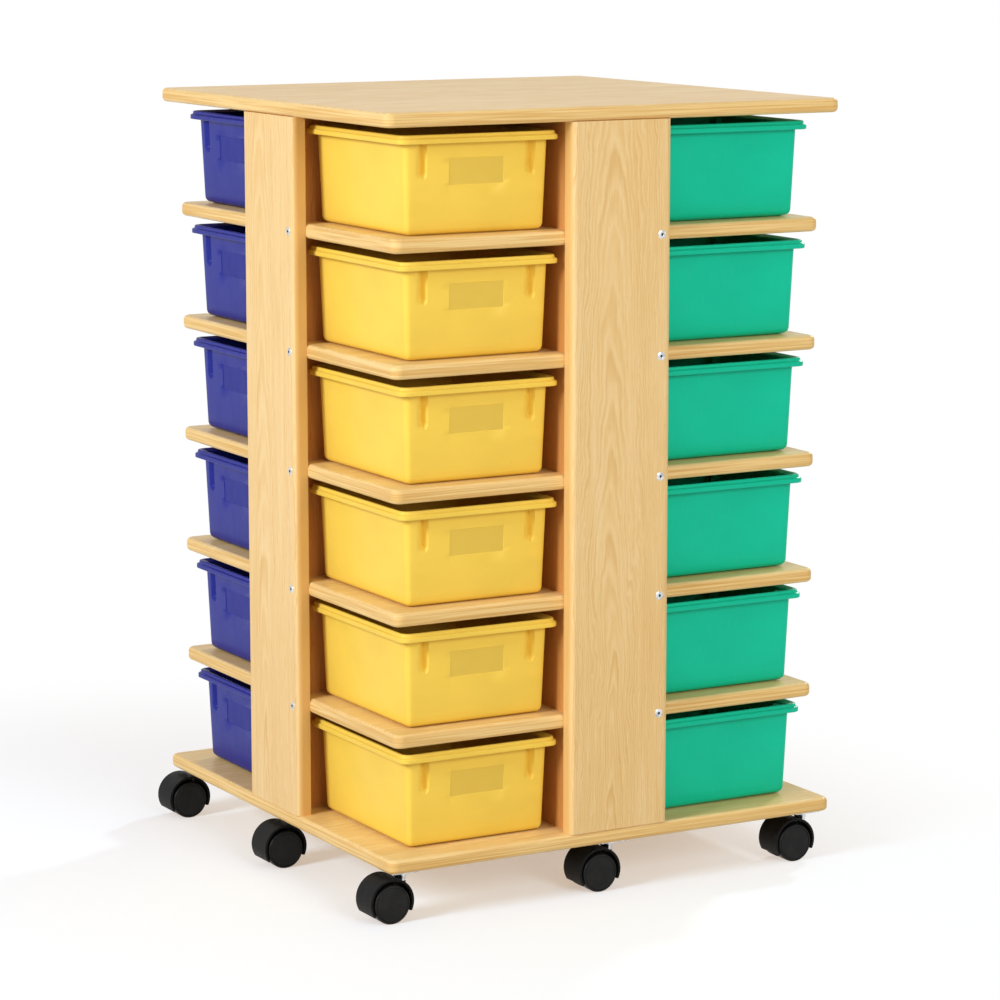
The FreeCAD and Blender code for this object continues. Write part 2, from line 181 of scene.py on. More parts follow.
# ---------------------------------------------------------------- stage, in metres
CAMERA_AZIMUTH = -29.45  # degrees from the front, positive to the right
CAMERA_ELEVATION = 9.61  # degrees
CAMERA_PLACE = (-2.4256, -4.3192, 1.3189)
CAMERA_LENS = 129.5  # millimetres, on a sensor 36 wide
CAMERA_SENSOR = 36.0
AMBIENT = 0.34
STAGE_RADIUS = 14.0
FLOOR_FADE = (0.6, 1.3)  # distances from the centre below between which the floor turns white
FLOOR_FADE_CENTRE = (-0.45, 0.03)
LAMPS = (
    # name, place, aim, size, watts, colour
    ("key", (-4.85, -1.1, 2.6), (0.0, 0.0, 0.5), 1.8, 200.0, (0.97, 1.0, 1.05)),
    ("front", (0.2, -5.1, 2.5), (0.0, 0.0, 0.5), 2.4, 116.0, (1.0, 1.0, 1.0)),
    ("back", (4.4, 2.6, 3.0), (0.0, 0.0, 0.5), 0.5, 100.0, (1.0, 1.0, 1.0)),
)


# ---------------------------------------------------------------- node helpers
class Nodes:
    """Short way to build the node tree of a material or of the world."""

    def __init__(self, owner, output="ShaderNodeOutputMaterial"):
        self.owner = owner
        owner.use_nodes = True
        self.tree = owner.node_tree
        self.tree.nodes.clear()
        self.output = self.tree.nodes.new(output)

    def node(self, kind, **settings):
        made = self.tree.nodes.new(kind)
        for key, value in settings.items():
            setattr(made, key, value)
        return made

    def link(self, source, target):
        self.tree.links.new(source, target)

    def put(self, socket, value):
        """Set a socket to a constant, or link it."""
        if isinstance(value, bpy.types.NodeSocket):
            self.link(value, socket)
        else:
            socket.default_value = value

    def math(self, operation, first, second=0.0, clamp=False):
        made = self.node("ShaderNodeMath", operation=operation, use_clamp=clamp)
        for socket, value in zip(made.inputs, (first, second)):
            self.put(socket, value)
        return made.outputs[0]

    def add(self, first, second):
        return self.math("ADD", first, second)

    def less(self, first, second):
        return self.math("SUBTRACT", first, second)

    def times(self, first, second):
        return self.math("MULTIPLY", first, second)

    def length(self, first, second):
        """Length of a vector with two parts."""
        square = self.add(self.times(first, first), self.times(second, second))
        return self.math("SQRT", square)

    def strayed(self, value, noise, reach):
        """A value moved by up to half the reach either way."""
        return self.add(value, self.times(self.less(noise, 0.5), reach))

    def place(self):
        return self.node("ShaderNodeTexCoord").outputs["Object"]

    def seen(self):
        """1 for a camera, glossy or transmission ray, and 0 for one that only lights."""
        rays = self.node("ShaderNodeLightPath").outputs
        bent = self.math("MAXIMUM", rays["Is Glossy Ray"], rays["Is Transmission Ray"])
        return self.math("MAXIMUM", rays["Is Camera Ray"], bent)

    def split(self, vector):
        made = self.node("ShaderNodeSeparateXYZ")
        self.put(made.inputs[0], vector)
        return made.outputs

    def join(self, x, y, z):
        made = self.node("ShaderNodeCombineXYZ")
        for socket, value in zip(made.inputs, (x, y, z)):
            self.put(socket, value)
        return made.outputs[0]

    def scaled(self, vector, scale, offset=(0, 0, 0)):
        made = self.node("ShaderNodeMapping", vector_type="POINT")
        self.link(vector, made.inputs["Vector"])
        made.inputs["Scale"].default_value = scale
        made.inputs["Location"].default_value = offset
        return made.outputs[0]

    def noise(self, vector, scale=1.0, detail=2.0, roughness=0.5):
        made = self.node("ShaderNodeTexNoise")
        self.link(vector, made.inputs["Vector"])
        made.inputs["Scale"].default_value = scale
        made.inputs["Detail"].default_value = detail
        made.inputs["Roughness"].default_value = roughness
        return made.outputs[0]

    def span(self, value, low, high, to_low=0.0, to_high=1.0, smooth=True):
        made = self.node("ShaderNodeMapRange", clamp=True)
        made.interpolation_type = "SMOOTHSTEP" if smooth else "LINEAR"
        for key, setting in (("Value", value), ("From Min", low), ("From Max", high),
                             ("To Min", to_low), ("To Max", to_high)):
            self.put(made.inputs[key], setting)
        return made.outputs[0]

    def mix(self, share, first, second, blend="MIX"):
        made = self.node("ShaderNodeMix", data_type="RGBA", blend_type=blend)
        self.put(made.inputs[0], share)
        self.put(made.inputs[6], first)
        self.put(made.inputs[7], second)
        return made.outputs[2]

    def bump(self, height, strength, distance, normal=None):
        made = self.node("ShaderNodeBump")
        made.inputs["Strength"].default_value = strength
        made.inputs["Distance"].default_value = distance
        self.link(height, made.inputs["Height"])
        if normal:
            self.link(normal, made.inputs["Normal"])
        return made.outputs[0]

    def finish(self, colour, roughness, normal, metallic=0.0, specular=0.5):
        """End in a Principled shader and give back the material."""
        shader = self.node("ShaderNodeBsdfPrincipled")
        self.put(shader.inputs["Base Color"], colour)
        self.put(shader.inputs["Roughness"], roughness)
        self.put(shader.inputs["Normal"], normal)
        shader.inputs["Metallic"].default_value = metallic
        shader.inputs["Specular IOR Level"].default_value = specular
        self.link(shader.outputs[0], self.output.inputs["Surface"])
        return self.owner


def new_material(name):
    return Nodes(bpy.data.materials.new(name))


# ---------------------------------------------------------------- wood
def wood_material(name, along, across, depth, heart, height, slope, turned_edge=False, tint_or_painted_shade=None,
                  contrast=1.0, coarse=1.0, line_share=0.6, edge_depth=0.5):
    """Lacquered maple veneer. along, across and depth are the board's axes.

    The figure is a cut through growth rings: heart is the rings' middle across the board, height
    their distance below its face, and slope how far that changes along the grain, which makes the
    arches. The edges show plainer strips, which lie level where turned_edge is set. A multiplied
    colour deepens the whole board: a warmer tint on the level boards, and painted shade on the
    boards behind the trays, darkened to stand in for their shadow. Contrast strengthens its grain,
    coarse widens it, line_share is the rings' darkness and edge_depth that of upright edges.
    """
    n = new_material(name)
    place = n.place()
    axes = n.split(place)
    u, v, w = (axes["XYZ".index(axis)] for axis in (along, across, depth))
    board = n.join(u, v, w)

    # Growth rings: a dark line and a pale one in each, uneven from ring to ring
    wander = n.noise(n.scaled(board, (2.2, 7.0, 7.0)), detail=2.0)
    sway = n.noise(n.scaled(board, (6.0, 22.0, 22.0), (7.3, 1.9, 4.1)), detail=3.0)
    wiggle = n.noise(n.scaled(board, (30.0, 80.0, 80.0), (4.6, 2.8, 9.0)), detail=2.0)
    side = n.strayed(n.strayed(n.less(v, heart), sway, SWAY), wiggle, WIGGLE)
    rise = n.strayed(n.add(n.times(u, slope), height), wander, WANDER)
    count = n.math("DIVIDE", n.length(side, rise), RING_PITCH * coarse)
    phase = n.math("FRACT", count)
    whole = n.join(n.math("FLOOR", count), 0.0, 0.0)
    uneven = n.noise(n.scaled(whole, (0.73, 1, 1)), detail=0.0)
    line = n.times(n.span(phase, 0.3, 0.8), n.span(phase, 1.0, 0.88))
    line = n.times(line, n.span(uneven, 0.42, 0.62, 0.1, 1.0))
    patchy = n.noise(n.scaled(board, (3.0, 20.0, 20.0), (2.2, 5.0, 8.0)), detail=2.0)
    line = n.times(line, n.span(patchy, 0.35, 0.6, 0.3, 1.0))
    pale = n.times(n.span(phase, 0.0, 0.12), n.span(phase, 0.5, 0.16))

    # Fibres and blotches, all drawn out along the grain
    def drawn(length, fine, offset, roughness):
        grain = n.scaled(board, (length, fine / coarse, fine / coarse), offset)
        return n.noise(grain, detail=3.0, roughness=roughness)

    fibres = drawn(16.0, 700.0, (0, 0, 0), 0.6)
    bands = drawn(4.0, 60.0, (9.1, 2.3, 6.4), 0.6)
    streaks = drawn(14.0, 420.0, (1.4, 8.2, 3.3), 0.75)
    specks = n.noise(n.scaled(board, (60.0, 1300.0, 1300.0), (3.0, 3.0, 3.0)), detail=1.0)
    flecks = n.span(specks, 0.6, 0.72)
    cloud = n.noise(n.scaled(board, (4.0, 10.0, 10.0), (11.0, 4.0, 6.0)), detail=3.0)

    def lay(face, share, colour):
        return n.mix(n.math("MULTIPLY", share, contrast, clamp=True), face, colour)

    face = n.mix(n.span(cloud, 0.35, 0.65, 0.0, 0.5), WOOD_MID, WOOD_DEEP)
    face = lay(face, n.span(bands, 0.5, 0.7, 0.0, 0.5), WOOD_LIGHT)
    face = lay(face, n.span(bands, 0.46, 0.3, 0.0, 0.35), WOOD_DEEP)
    face = lay(face, n.span(streaks, 0.5, 0.68, 0.0, 0.5), WOOD_LIGHT)
    face = n.mix(n.times(pale, 0.35), face, WOOD_LIGHT)
    face = n.mix(n.times(line, line_share), face, WOOD_LINE)
    face = lay(face, n.span(fibres, 0.45, 0.75, 0.0, 0.2), WOOD_LINE)
    face = n.mix(n.times(flecks, 0.35), face, WOOD_LINE)

    # Edges, with a little wear where they turn into the face
    strip_scale = (5.0, 5.0, 420.0) if turned_edge else (150.0, 150.0, 5.0)
    layers = n.noise(n.scaled(place, strip_scale), detail=2.5, roughness=0.7)
    if turned_edge:
        edge = n.mix(n.span(layers, 0.35, 0.65), EDGE_LIGHT, EDGE_DARK)
    else:
        share = n.span(layers, 0.3, 0.7, edge_depth, edge_depth + 0.4)
        edge = n.mix(share, WOOD_DEEP, EDGE_DARK)
    edge = n.mix(n.span(cloud, 0.4, 0.7, 0.0, 0.2), edge, WOOD_MID)
    normal = n.split(n.node("ShaderNodeNewGeometry").outputs["Normal"])
    facing = n.math("ABSOLUTE", normal["XYZ".index(depth)])
    colour = n.mix(n.span(facing, 0.55, 0.8), edge, face)
    worn = n.times(n.span(facing, 0.35, 0.6), n.span(facing, 0.95, 0.7))
    colour = n.mix(n.times(worn, n.span(cloud, 0.3, 0.8, 0.1, 0.4)), colour, WOOD_LIGHT)
    # a multiplied colour: a warmer tint on the level boards, painted shade on the boards behind the
    # trays
    if tint_or_painted_shade:
        colour = n.mix(1.0, colour, tint_or_painted_shade, blend="MULTIPLY")

    roughness = n.span(fibres, 0.3, 0.8, 0.32, 0.42, smooth=False)
    grooves = n.bump(line, 0.06, 0.0006, n.bump(fibres, 0.10, 0.0004))
    return n.finish(colour, roughness, grooves, specular=0.14)


def dress(piece, material):
    """Put one material in all of a piece's slots."""
    if not piece.material_slots:
        piece.data.materials.append(material)
    for place in piece.material_slots:
        place.material = material


def paint_boards():
    """Give every board its veneer: grain along X on the level boards and upright on the others."""
    level = wood_material("veneer_level", "X", "Y", "Z", 0.05, 0.05, 0.06, turned_edge=True,
                          tint_or_painted_shade=LEVEL_TINT, contrast=2.0, coarse=3.2, line_share=0.3)
    facing_front = wood_material("veneer_front", "Z", "X", "Y", -0.012, 0.002, 0.05,
                                 line_share=0.5, edge_depth=0.0)
    facing_side = wood_material("veneer_side", "Z", "Y", "X", 0.02, 0.01, 0.04, edge_depth=0.9)
    # the boards behind the trays carry painted shade, a darker brown standing in for their shadow
    inner_front = wood_material("inner_front", "Z", "X", "Y", 0.03, 0.02, 0.04, tint_or_painted_shade=INNER_PAINTED_SHADE)
    inner_side = wood_material("inner_side", "Z", "Y", "X", -0.04, 0.015, 0.05, tint_or_painted_shade=INNER_PAINTED_SHADE)
    wanted = {"top_board": level, "base_board": level}
    for turns, (stack, side) in enumerate(zip(STACKS, SIDES)):
        across = turns % 2 == 0
        wanted["face_panel_" + side] = facing_front if across else facing_side
        wanted["back_board_" + stack] = inner_front if across else inner_side
        wanted["side_divider_" + stack] = inner_side if across else inner_front
        wanted["shelves_" + stack] = level
    for node, material in wanted.items():
        dress(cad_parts[node], material)


# ---------------------------------------------------------------- plastics and metal
def tray_material(name, colour, tint=None, dull=False):
    """Moulded plastic: soft gloss, faint flow marks and fine orange peel; a label field is dull."""
    n = new_material(name)
    place = n.place()
    flow = n.noise(n.scaled(place, (6.0, 6.0, 14.0)), detail=3.0)
    grime = n.scaled(place, (60.0, 60.0, 25.0), (5.0, 2.0, 1.0))
    grime = n.noise(grime, detail=4.0, roughness=0.65)
    peel = n.noise(place, scale=420.0, detail=2.0)
    scuffs = n.noise(n.scaled(place, (900.0, 900.0, 40.0)), detail=1.0)
    deep = tuple(part * TRAY_DEEP_SHARE for part in colour[:3]) + (1.0,)
    shade = n.mix(n.span(flow, 0.3, 0.7, 0.0, 0.8), colour, deep)
    shade = n.mix(n.span(scuffs, 0.66, 0.8, 0.0, 0.04), shade, SCUFF)
    # the tint is the label field's own colour, or painted shade on the tray's inside
    if tint:
        shade = n.mix(1.0, shade, tint, blend="MULTIPLY")
    low, high = (0.36, 0.48) if dull else (0.27, 0.40)
    roughness = n.span(grime, 0.3, 0.7, low, high, smooth=False)
    return n.finish(shade, roughness, n.bump(peel, 0.05, 0.0004), specular=0.16)


def black_plastic(name, colour, low, high, specular, texture):
    """Glass-filled black plastic with a fine spark-eroded texture and a little dust."""
    n = new_material(name)
    place = n.place()
    grain = n.noise(place, scale=1400.0, detail=3.0, roughness=0.6)
    dust = n.noise(place, scale=45.0, detail=4.0, roughness=0.6)
    shade = n.mix(n.span(dust, 0.4, 0.75, 0.0, 0.2), colour, DUST)
    roughness = n.span(dust, 0.3, 0.7, low, high, smooth=False)
    return n.finish(shade, roughness, n.bump(grain, texture, 0.0003), specular=specular)


def zinc_material():
    """Bright zinc plate on steel, with a faint crystal mottle and brushed scratches."""
    n = new_material("zinc_plate")
    place = n.place()
    mottle = n.noise(place, scale=160.0, detail=3.0)
    scratches = n.noise(n.scaled(place, (2200.0, 300.0, 2200.0)), detail=2.0)
    shade = n.mix(n.span(mottle, 0.35, 0.7), ZINC, ZINC_DULL)
    roughness = n.span(mottle, 0.3, 0.7, 0.16, 0.3, smooth=False)
    return n.finish(shade, roughness, n.bump(scratches, 0.08, 0.0002), metallic=1.0)


def recess_material():
    """The screws' recesses: dark grey, with paler dirt mottled in."""
    n = new_material("screw_recess")
    dirt = n.noise(n.place(), scale=900.0, detail=3.0)
    shade = n.mix(n.span(dirt, 0.35, 0.7), RECESS, RECESS_DIRT)
    roughness = n.span(dirt, 0.3, 0.7, 0.5, 0.7, smooth=False)
    return n.finish(shade, roughness, n.bump(dirt, 0.2, 0.0002))


# ---------------------------------------------------------------- mesh helpers
def mesh_from(name, bm, materials, smooth_angle=35.0):
    """Finish a mesh: outward normals, smooth faces and sharp edges past the angle."""
    bmesh.ops.remove_doubles(bm, verts=bm.verts, dist=1e-6)
    bmesh.ops.recalc_face_normals(bm, faces=bm.faces)
    limit = math.radians(smooth_angle)
    for face in bm.faces:
        face.smooth = True
    for edge in bm.edges:
        edge.smooth = len(edge.link_faces) == 2 and edge.calc_face_angle(0) < limit
    mesh = bpy.data.meshes.new(name)
    bm.to_mesh(mesh)
    bm.free()
    for material in materials:
        mesh.materials.append(material)
    return mesh


def placed(name, mesh, matrix=Matrix.Identity(4)):
    """New object that shows a mesh."""
    piece = bpy.data.objects.new(name, mesh)
    bpy.context.scene.collection.objects.link(piece)
    piece.matrix_world = matrix
    return piece


def loft(bm, rings):
    """Quads between rings of equally many points, which lie round a loop."""
    made = [[bm.verts.new(Vector(point) * MM) for point in ring] for ring in rings]
    faces = []
    for lower, upper in zip(made, made[1:]):
        count = len(lower)
        for i in range(count):
            j = (i + 1) % count
            faces.append(bm.faces.new((lower[i], lower[j], upper[j], upper[i])))
    return made, faces


def rounded_profile(corners, steps=3):
    """Points along a polyline of (a, b, radius) corners, each rounded by an arc."""
    points = [Vector(corners[0][:2])]
    for before, here, after in zip(corners, corners[1:], corners[2:]):
        corner, radius = Vector(here[:2]), here[2]
        if radius <= 0:
            points.append(corner)
            continue
        back = (Vector(before[:2]) - corner).normalized()
        ahead = (Vector(after[:2]) - corner).normalized()
        half = back.angle(ahead) / 2
        reach = radius / math.tan(half)
        centre = corner + (back + ahead).normalized() * (radius / math.sin(half))
        start = corner + back * reach - centre
        end = corner + ahead * reach - centre
        for step in range(steps + 1):
            arm = start.normalized().slerp(end.normalized(), step / steps)
            points.append(centre + arm * radius)
    points.append(Vector(corners[-1][:2]))
    return points


def revolved(bm, profile, segments, axis_frame):
    """Surface of revolution from (radius, distance along the axis) pairs, closed at both ends."""
    rings = []
    for radius, along in profile:
        ring = []
        for i in range(segments):
            turn = 2 * math.pi * i / segments
            point = Vector((radius * math.cos(turn), radius * math.sin(turn), along))
            ring.append(axis_frame @ point)
        rings.append(ring)
    made, _ = loft(bm, rings)
    for ring in (made[0], made[-1]):
        bm.faces.new(ring)


def rod(bm, radius, low, high, segments, axis_frame):
    """Round bar along Z between two heights."""
    profile = [(AXIS_GAP, low), (radius, low), (radius, high), (AXIS_GAP, high)]
    revolved(bm, profile, segments, axis_frame)


def rounded_rectangle(half_x, half_y, radius, steps=CORNER_STEPS):
    """Points of a rectangle with round corners, counterclockwise."""
    points = []
    for quarter in range(4):
        centre_x = (half_x - radius) * (1 if quarter in (0, 3) else -1)
        centre_y = (half_y - radius) * (1 if quarter in (0, 1) else -1)
        for step in range(steps):
            turn = math.radians(90 * (quarter + step / (steps - 1)))
            points.append((centre_x + radius * math.cos(turn), centre_y + radius * math.sin(turn)))
    return points


# ---------------------------------------------------------------- trays
def front_columns():
    """Places across the front wall, dense round the flutes and at the label's edges."""
    columns = []
    for valley in FLUTE_VALLEYS:
        for share in FLUTE_COLUMNS:
            columns.append(valley + share * (FLUTE_LEFT if share < 0 else FLUTE_RIGHT))
    for edge in (LABEL_HALF_WIDTH - LABEL_LIP, LABEL_HALF_WIDTH + LABEL_LIP):
        columns.extend((-edge, edge))
    columns.extend(PLAIN_COLUMNS)
    return sorted(columns)


def wall_inset(z):
    """Inset of the outside of the wall from the rim at height z."""
    return RIM_OVERHANG + WALL_DRAFT * (1 - z / TRAY_HEIGHT)


def flute_depth(x, z, wall):
    """How far a flute pushes the wall in, outside (wall 0) or inside the tray."""
    deepest = 0.0
    below = max(0.0, FLUTE_END_Z - z) / (FLUTE_RUNOUT + wall)
    for valley in FLUTE_VALLEYS:
        reach = (FLUTE_LEFT if x < valley else FLUTE_RIGHT) + wall
        share = max(0.0, 1 - math.hypot((x - valley) / reach, below))
        if x < valley:
            share **= FLUTE_LEFT_POWER
        deepest = max(deepest, (FLUTE_DEPTH + wall) * share - wall)
    return deepest


def label_depth(x, z):
    """Depth of the label field, with a short lip round it."""
    inside = min(LABEL_HALF_WIDTH - abs(x), z - LABEL_BOTTOM, LABEL_TOP - z)
    return LABEL_DEPTH * min(1.0, max(0.0, 0.5 + inside / (2 * LABEL_LIP)))


def tray_ring(inset, z, side, columns):
    """One ring of the tray, counterclockwise from its back right corner."""
    half_x, half_y = TRAY_WIDTH / 2 - inset, TRAY_DEPTH / 2 - inset
    radius = max(LEAST_CORNER_RADIUS, RIM_CORNER_RADIUS - CORNER_SHRINK * inset)
    corners = rounded_rectangle(half_x, half_y, radius)
    squeeze = min(1.0, (half_x - radius - 0.5) / max(columns))
    before_front = 3 * CORNER_STEPS  # three corners, then the front wall, then the last corner
    ring = [(x, y, z) for x, y in corners[:before_front]]
    for column in columns:
        x = column * squeeze
        push = 0.0
        if side == "outside":
            push = flute_depth(x, z, 0.0) + label_depth(x, z)
        elif side == "inside":
            push = flute_depth(x, z, TRAY_WALL)
        ring.append((x, -half_y + push, z))
    ring.extend((x, y, z) for x, y in corners[before_front:])
    return ring


def tray_stations():
    """Inset and height of each ring, from the underside up the outside and down the inside."""
    foot = wall_inset(0) + FOOT_INSET
    profile = rounded_profile([
        (FLOOR_INSET, 0.0, 0.0),
        (foot + FOOT_HEIGHT, 0.0, 0.4),
        (foot, FOOT_HEIGHT, 0.4),
        (wall_inset(0), FOOT_HEIGHT, BOTTOM_RADIUS),
        (wall_inset(RIM_ROOF), RIM_ROOF, 1.0),
        (TRAY_WALL, RIM_ROOF, 0.8),
        (TRAY_WALL, RIM_LOW, 0.7),
        (0.0, RIM_LOW, 1.1),
        (0.0, RIM_STEP, 1.5),
        (RIM_STEP_INSET, RIM_STEP + RIM_STEP_RISE, 1.2),
        (RIM_STEP_INSET + 0.3, TRAY_HEIGHT, 1.6),
        (RIM_STEP_INSET + RIM_CREST, TRAY_HEIGHT, 1.0),
        (RIM_OVERHANG + TRAY_WALL, TRAY_HEIGHT - RIM_DIP, 3.0),
        (wall_inset(0) + TRAY_WALL, TRAY_WALL, FLOOR_RADIUS),
        (FLOOR_INSET, TRAY_WALL, 0.0),
    ])
    stations = []
    for point, following in zip(profile, profile[1:]):
        stations.append((point.x, point.y))
        if abs(following.y - point.y) > TALL_STRETCH:
            for z in WALL_ROWS if following.y > point.y else WALL_ROWS[::-1]:
                share = (z - point.y) / (following.y - point.y)
                stations.append((point.x + share * (following.x - point.x), z))
    stations.append(tuple(profile[-1]))
    return stations


def tray_mesh(name, materials):
    """One moulded tray: drafted walls with hand flutes and a label field, and a hollow rim."""
    columns = front_columns()
    stations = tray_stations()
    highest = max(range(len(stations)), key=lambda i: stations[i][1])
    rings = []
    for i, (inset, z) in enumerate(stations):
        side = ""
        if inset >= RIM_OVERHANG and WALL_START < z < RIM_ROOF:
            side = "outside" if i < highest else "inside"
        rings.append(tray_ring(inset, z, side, columns))
    bm = bmesh.new()
    made, faces = loft(bm, rings)
    bm.faces.new(made[0])
    # the floor inside and the inner walls take the third material, which carries painted shade
    bm.faces.new(made[-1]).material_index = 2
    for index, face in enumerate(faces):
        centre = face.calc_center_median() / MM
        if index // len(made[0]) > highest and centre.z < TRAY_HEIGHT - RIM_DIP - 1:
            face.material_index = 2
        front = centre.y < -TRAY_DEPTH / 2 + RIM_OVERHANG + WALL_DRAFT + 1.5
        outside = centre.y < -TRAY_DEPTH / 2 + wall_inset(centre.z) + TRAY_WALL / 2
        if front and outside and label_depth(centre.x, centre.z) > LABEL_DEPTH * 0.99:
            face.material_index = 1
    return mesh_from(name, bm, materials, smooth_angle=38.0)


def build_trays():
    """24 trays, six in each stack, which ride on their own bodies."""
    for turns, (stack, colour) in enumerate(zip(STACKS, STACK_COLOURS)):
        shade = TRAY_COLOURS[colour]
        mesh = tray_mesh("tray_" + colour, (
            tray_material("tray_" + colour, shade),
            tray_material("tray_label_" + colour, shade, tint=LABEL_TINT, dull=True),
            # the inside of each tray is darkened and warmed with painted shade
            tray_material("tray_inside_" + colour, shade, tint=INSIDE_PAINTED_SHADE),
        ))
        turn = Matrix.Rotation(math.radians(90 * turns), 4, "Z")
        for level in range(1, LEVELS + 1):
            node = "tray_%s_%d" % (stack, level)
            low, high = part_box(node)
            middle = (low + high) / 2
            seat = Matrix.Translation((middle.x, middle.y, low.z)) @ turn
            piece = placed("moulded_" + node, mesh, seat)
            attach(piece, node)
            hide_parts(node)


# ---------------------------------------------------------------- casters
def caster_places():
    """Swivel axes, in the order of the caster numbers."""
    steps = (-CASTER_REACH, 0.0, CASTER_REACH)
    return [(x, y) for y in steps for x in steps if x or y]


def along_y(x, y, z, side=1):
    """Frame whose Z axis points along Y, at a point."""
    turn = Matrix.Rotation(math.radians(-90 * side), 4, "X")
    return Matrix.Translation((x, y, z)) @ turn


def wheel_profile():
    """Half section of a wheel, from its inner face over the tread to its capped outer face."""
    cap = WHEEL_WIDTH - 0.6
    groove = WHEEL_WIDTH - 0.9  # bottom of the groove round the cap
    corners = [
        (0.0, 0.6, 0.0), (WHEEL_RADIUS - 6, 0.6, 0.5), (WHEEL_RADIUS - 5.4, 0.0, 0.4),
        (WHEEL_RADIUS, 0.0, 1.2), (WHEEL_RADIUS, WHEEL_WIDTH, 1.8),
        (WHEEL_RADIUS - 2.6, WHEEL_WIDTH, 0.3), (WHEEL_RADIUS - 2.9, groove, 0.2),
        (WHEEL_RADIUS - 3.6, groove, 0.2), (WHEEL_RADIUS - 3.9, WHEEL_WIDTH - 0.15, 0.6),
        (6.0, cap, 2.0), (0.0, cap, 0.0),
    ]
    return [(max(point.x, AXIS_GAP), point.y) for point in rounded_profile(corners)]


def build_wheels(plastic, steel):
    """Eight pairs of hooded wheels, each pair turning with its axle."""
    for number, (x, y) in enumerate(caster_places(), start=1):
        node = "caster_wheels_%d" % number
        axle_x = x - CASTER_TRAIL
        wheels = bmesh.new()
        for side in (-1, 1):
            hub = along_y(axle_x, y + side * WHEEL_INNER, WHEEL_RADIUS, side)
            revolved(wheels, wheel_profile(), 72, hub)
        mesh = mesh_from("twin_" + node, wheels, (plastic, steel), smooth_angle=30.0)
        both = bmesh.new()
        both.from_mesh(mesh)
        wheel_faces = len(both.faces)
        middle = along_y(axle_x, y, WHEEL_RADIUS)
        rod(both, AXLE_RADIUS, -AXLE_REACH, AXLE_REACH, 24, middle)
        both.faces.ensure_lookup_table()
        for face in both.faces[wheel_faces:]:
            face.material_index = 1
        both.to_mesh(mesh)
        both.free()
        piece = placed("twin_" + node, mesh)
        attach(piece, node)
        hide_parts(node)


def build_hoods(material):
    """Eight hoods, kept from the frame."""
    for number in range(1, len(caster_places()) + 1):
        dress(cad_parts["caster_hood_%d" % number], material)


def plate_piece(bm, x, y):
    """Zinc plate with a pressed lower edge, the swivel's raceway cup and its king pin."""
    low = BASE_BOTTOM - PLATE_THICKNESS
    rings = []
    for inset, z in ((3.0, low), (0.5, low), (0.0, low + 0.5), (0.0, BASE_BOTTOM),
                     (3.0, BASE_BOTTOM)):
        half = PLATE_HALF - inset
        outline = rounded_rectangle(half, half, PLATE_CORNER_RADIUS - inset * 0.5)
        rings.append([(x + px, y + py, z) for px, py in outline])
    made, _ = loft(bm, rings)
    bm.faces.new(made[0])
    bm.faces.new(made[-1])
    axis = Matrix.Translation((x, y, 0.0))
    revolved(bm, RACEWAY_CUP, 40, axis)
    rod(bm, KING_PIN_RADIUS, KING_PIN_LOW, KING_PIN_HIGH, 24, axis)


def build_plates(material):
    """All eight top plates, one piece on the cabinet."""
    bm = bmesh.new()
    for x, y in caster_places():
        plate_piece(bm, x, y)
    piece = placed("swivel_plates", mesh_from("swivel_plates", bm, (material,), 30.0))
    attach(piece, "cabinet")
    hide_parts("caster_plates")


# ---------------------------------------------------------------- screws
def screw_head(bm, head_frame, radius, crown, recess_radius, recess_depth, seat):
    """Domed head about +Z with a dark hexagon recess; seat is how deep its cone goes."""
    def ring_at(reach, along, hexagon=False):
        ring = []
        for i in range(SCREW_SEGMENTS):
            turn = 2 * math.pi * i / SCREW_SEGMENTS
            length = reach
            if hexagon:
                off_middle = (turn % (math.pi / 3)) - math.pi / 6
                length = reach / math.cos(off_middle) * math.cos(math.pi / 6)
            point = Vector((length * math.cos(turn), length * math.sin(turn), along))
            ring.append(head_frame @ point)
        return ring

    rings = [ring_at(radius * 0.5, -seat), ring_at(radius, -0.15), ring_at(radius, 0.0)]
    for share in DOME_SHARES:
        rings.append(ring_at(radius * share, crown * math.sqrt(1 - share * share) ** DOME_POWER))
    rings.append(ring_at(recess_radius * 1.12, crown, True))
    rings.append(ring_at(recess_radius, crown - 0.12, True))
    rings.append(ring_at(recess_radius * 0.97, crown - recess_depth, True))
    rings.append(ring_at(AXIS_GAP, crown - recess_depth - 0.4))
    made, faces = loft(bm, rings)
    bm.faces.new(made[0])
    for face in faces[-2 * SCREW_SEGMENTS:] + [bm.faces.new(made[-1])]:
        face.material_index = 1


def build_screws(materials):
    """Panel screws on all four sides and the screws of the caster plates, as two pieces."""
    panel = bmesh.new()
    outward = Matrix.Rotation(math.radians(90), 4, "X")
    for turns in range(4):
        turn = Matrix.Rotation(math.radians(90 * turns), 4, "Z")
        for z in SHELF_MIDDLES:
            place = Matrix.Translation((PANEL_SCREW_OFFSET, -HALF_TOP, z))
            screw_head(panel, turn @ place @ outward, **PANEL_SCREW)
    plates = bmesh.new()
    low = BASE_BOTTOM - PLATE_THICKNESS
    flip = Matrix.Rotation(math.radians(180), 4, "X")
    for x, y in caster_places():
        for dx in (-PLATE_SCREW_REACH, PLATE_SCREW_REACH):
            for dy in (-PLATE_SCREW_REACH, PLATE_SCREW_REACH):
                place = Matrix.Translation((x + dx, y + dy, low))
                screw_head(plates, place @ flip, **PLATE_SCREW)
    for name, bm in (("panel_screws", panel), ("plate_screws", plates)):
        piece = placed(name, mesh_from(name, bm, materials, 40.0))
        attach(piece, "cabinet")
        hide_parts("screws")


